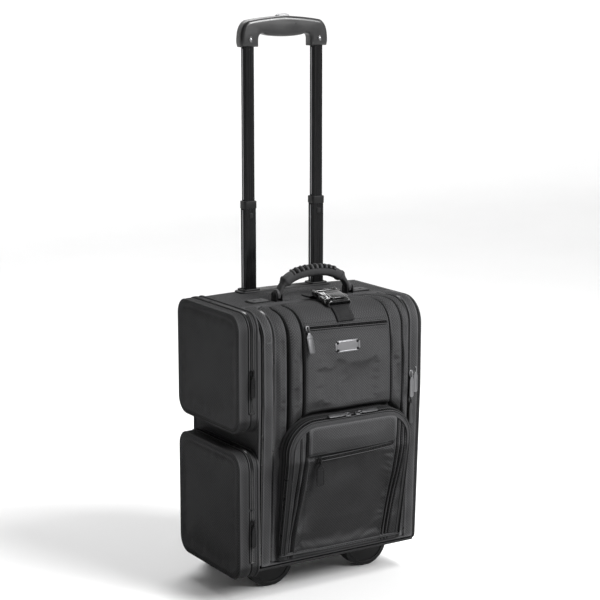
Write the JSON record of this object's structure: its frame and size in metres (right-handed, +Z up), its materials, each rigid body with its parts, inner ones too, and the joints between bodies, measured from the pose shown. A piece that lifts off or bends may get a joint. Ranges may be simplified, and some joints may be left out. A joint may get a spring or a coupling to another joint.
{
  "type": "rolling laptop case",
  "caption": "Upright soft rolling laptop case with telescopic pull handle, side pockets, layered zipped front, carry handle and closure strap.",
  "frame": {"origin": "middle of the object's box, on the floor", "axes": "+Z up, -Y towards the front with the zipped pockets, +X to the right seen from the front"},
  "size_m": [0.408, 0.3138, 1.084],
  "materials": {
    "fabric": "black ballistic nylon weave",
    "lining": "dark grey smooth lining over board",
    "webbing": "ribbed black webbing",
    "piping": "dark grey corded piping",
    "zip_tape": "black zip tape and coil",
    "tube_black": "black anodised, semi-gloss",
    "moulded_plastic": "fine satin texture",
    "handle_rubber": "matt, ribbed on top",
    "silver_metal": "satin nickel",
    "zip_metal": "gunmetal",
    "button_grey": "satin grey",
    "buckle_gloss": "polished",
    "wheel_tyre": "matt",
    "wheel_hub": "satin"
  },
  "bodies": {
    "case": {"left_side_panel": "fabric", "right_side_panel": "fabric", "top_panel": "fabric", "base_board": "lining", "back_panel": "fabric", "bay_divider": "lining", "wheel_carriage": "moulded_plastic", "wheel_axle": "silver_metal", "front_foot_left": "moulded_plastic", "front_foot_right": "moulded_plastic", "outer_tube_left": "tube_black", "outer_tube_right": "tube_black", "tube_foot_bracket": "moulded_plastic", "handle_bezel": "moulded_plastic", "handle_base_strap": "webbing", "strap_anchor_left": "moulded_plastic", "strap_anchor_right": "moulded_plastic", "closure_strap_rear": "webbing", "buckle_tongue": "buckle_gloss", "upper_pocket_base": "fabric", "lower_pocket_base": "fabric"},
    "middle_stage": {"middle_tube_left": "tube_black", "middle_tube_right": "tube_black", "tube_collar_left": "moulded_plastic", "tube_collar_right": "moulded_plastic"},
    "upper_stage": {"upper_tube_left": "tube_black", "upper_tube_right": "tube_black", "pull_handle_grip": "moulded_plastic"},
    "release_button": {"release_button": "button_grey"},
    "carry_handle": {"carry_handle": "handle_rubber"},
    "wheel_left": {"wheel_tyre_left": "wheel_tyre", "wheel_hub_left": "wheel_hub"},
    "wheel_right": {"wheel_tyre_right": "wheel_tyre", "wheel_hub_right": "wheel_hub"},
    "main_lid": {"main_lid": "fabric"},
    "front_cover": {"front_cover": "fabric", "name_plate_blank": "silver_metal", "closure_strap_front": "webbing", "buckle_socket": "buckle_gloss"},
    "front_pocket": {"front_pocket": "fabric"},
    "upper_pocket_lid": {"upper_pocket_lid": "fabric"},
    "lower_pocket_lid": {"lower_pocket_lid": "fabric"},
    "upper_pocket_slider": {"upper_pocket_slider": "zip_metal"},
    "upper_pocket_pull": {"upper_pocket_pull": "zip_metal"},
    "lower_pocket_slider": {"lower_pocket_slider": "zip_metal"},
    "lower_pocket_pull": {"lower_pocket_pull": "zip_metal"},
    "outer_front_slider": {"outer_front_slider": "silver_metal"},
    "outer_front_pull": {"outer_front_pull": "silver_metal"},
    "inner_front_high_slider": {"inner_front_high_slider": "silver_metal"},
    "inner_front_high_pull": {"inner_front_high_pull": "silver_metal"},
    "inner_front_low_slider": {"inner_front_low_slider": "zip_metal"},
    "inner_front_low_pull": {"inner_front_low_pull": "zip_metal"},
    "front_panel_slider": {"front_panel_slider": "zip_metal"},
    "front_panel_pull": {"front_panel_pull": "zip_metal"},
    "arch_left_slider": {"arch_left_slider": "zip_metal"},
    "arch_left_pull": {"arch_left_pull": "zip_metal"},
    "arch_right_slider": {"arch_right_slider": "zip_metal"},
    "arch_right_pull": {"arch_right_pull": "zip_metal"},
    "slanted_slider": {"slanted_slider": "zip_metal"},
    "slanted_pull": {"slanted_pull": "zip_metal"}
  },
  "joints": [
    {"name": "middle_tubes_slide", "type": "slide", "parent": "case", "child": "middle_stage", "axis": [0, 0, 1], "range_m": [-0.155, 0]},
    {"name": "upper_tubes_slide", "type": "slide", "parent": "middle_stage", "child": "upper_stage", "axis": [0, 0, 1], "range_m": [-0.29, 0]},
    {"name": "release_button_press", "type": "slide", "parent": "upper_stage", "child": "release_button", "axis": [0, 0, -1], "range_m": [0, 0.0035], "stiffness_N_per_m": 600, "springref_m": -0.001},
    {"name": "carry_handle_swing", "type": "hinge", "parent": "case", "child": "carry_handle", "pos_m": [0.024, -0.0101, 0.5646], "axis": [1, 0, 0], "range_deg": [-60, 45]},
    {"name": "wheel_left_roll", "type": "hinge", "parent": "case", "child": "wheel_left", "pos_m": [-0.123, 0.1189, 0.038], "axis": [1, 0, 0], "continuous": true},
    {"name": "wheel_right_roll", "type": "hinge", "parent": "case", "child": "wheel_right", "pos_m": [0.171, 0.1189, 0.038], "axis": [1, 0, 0], "continuous": true},
    {"name": "main_lid_fold", "type": "hinge", "parent": "case", "child": "main_lid", "pos_m": [0.024, -0.10039, 0.0676], "axis": [1, 0, 0], "range_deg": [0, 45]},
    {"name": "front_cover_fold", "type": "hinge", "parent": "main_lid", "child": "front_cover", "pos_m": [0.024, -0.10063, 0.0745], "axis": [1, 0, 0], "range_deg": [0, 25]},
    {"name": "front_pocket_fold", "type": "hinge", "parent": "front_cover", "child": "front_pocket", "pos_m": [0.024, -0.10429, 0.079], "axis": [1, 0, 0], "range_deg": [0, 20]},
    {"name": "upper_pocket_fold", "type": "hinge", "parent": "case", "child": "upper_pocket_lid", "pos_m": [-0.1722, -0.1131, 0.33], "axis": [0, -1, 0], "range_deg": [0, 45]},
    {"name": "lower_pocket_fold", "type": "hinge", "parent": "case", "child": "lower_pocket_lid", "pos_m": [-0.1722, -0.1131, 0.05], "axis": [0, -1, 0], "range_deg": [0, 45]},
    {"name": "upper_pocket_zip", "type": "slide", "parent": "case", "child": "upper_pocket_slider", "axis": [0, 0, 1], "range_m": [-0.07, 0.06]},
    {"name": "upper_pocket_pull_swing", "type": "hinge", "parent": "upper_pocket_slider", "child": "upper_pocket_pull", "pos_m": [-0.1722, -0.118, 0.443], "axis": [-1, 0, 0], "range_deg": [0, 110]},
    {"name": "lower_pocket_zip", "type": "slide", "parent": "case", "child": "lower_pocket_slider", "axis": [0, 0, 1], "range_m": [-0.06, 0.09]},
    {"name": "lower_pocket_pull_swing", "type": "hinge", "parent": "lower_pocket_slider", "child": "lower_pocket_pull", "pos_m": [-0.1722, -0.118, 0.159], "axis": [-1, 0, 0], "range_deg": [0, 110]},
    {"name": "outer_front_zip", "type": "slide", "parent": "main_lid", "child": "outer_front_slider", "axis": [0, 0, 1], "range_m": [-0.03, 0.07]},
    {"name": "outer_front_pull_swing", "type": "hinge", "parent": "outer_front_slider", "child": "outer_front_pull", "pos_m": [0.1904, -0.118, 0.408], "axis": [-1, 0, 0], "range_deg": [0, 110]},
    {"name": "inner_front_high_zip", "type": "slide", "parent": "main_lid", "child": "inner_front_high_slider", "axis": [0, 0, 1], "range_m": [0, 0.08]},
    {"name": "inner_front_high_pull_swing", "type": "hinge", "parent": "inner_front_high_slider", "child": "inner_front_high_pull", "pos_m": [0.1794, -0.1208, 0.4], "axis": [-1, 0, 0], "range_deg": [0, 110]},
    {"name": "inner_front_low_zip", "type": "slide", "parent": "main_lid", "child": "inner_front_low_slider", "axis": [0, 0, 1], "range_m": [-0.12, 0]},
    {"name": "inner_front_low_pull_swing", "type": "hinge", "parent": "inner_front_low_slider", "child": "inner_front_low_pull", "pos_m": [0.1794, -0.1198, 0.348], "axis": [-1, 0, 0], "range_deg": [0, 110]},
    {"name": "front_panel_zip", "type": "slide", "parent": "front_cover", "child": "front_panel_slider", "axis": [1, 0, 0], "range_m": [0, 0.06]},
    {"name": "front_panel_pull_swing", "type": "hinge", "parent": "front_panel_slider", "child": "front_panel_pull", "pos_m": [-0.06, -0.1283, 0.51559], "axis": [-1, 0, 0], "range_deg": [0, 110]},
    {"name": "arch_left_zip", "type": "slide", "parent": "front_pocket", "child": "arch_left_slider", "axis": [-1, 0, 0], "range_m": [0, 0.05]},
    {"name": "arch_left_pull_swing", "type": "hinge", "parent": "arch_left_slider", "child": "arch_left_pull", "pos_m": [0.012, -0.14798, 0.35325], "axis": [0, 0.848, 0.5299], "range_deg": [0, 110]},
    {"name": "arch_right_zip", "type": "slide", "parent": "front_pocket", "child": "arch_right_slider", "axis": [1, 0, 0], "range_m": [0, 0.05]},
    {"name": "arch_right_pull_swing", "type": "hinge", "parent": "arch_right_slider", "child": "arch_right_pull", "pos_m": [0.042, -0.14798, 0.35325], "axis": [0, -0.848, -0.5299], "range_deg": [0, 110]},
    {"name": "slanted_zip", "type": "slide", "parent": "front_pocket", "child": "slanted_slider", "axis": [1, 0, 0], "range_m": [0, 0.14]},
    {"name": "slanted_pull_swing", "type": "hinge", "parent": "slanted_slider", "child": "slanted_pull", "pos_m": [-0.05, -0.1548, 0.269], "axis": [-1, 0, 0], "range_deg": [0, 110]}
  ]
}
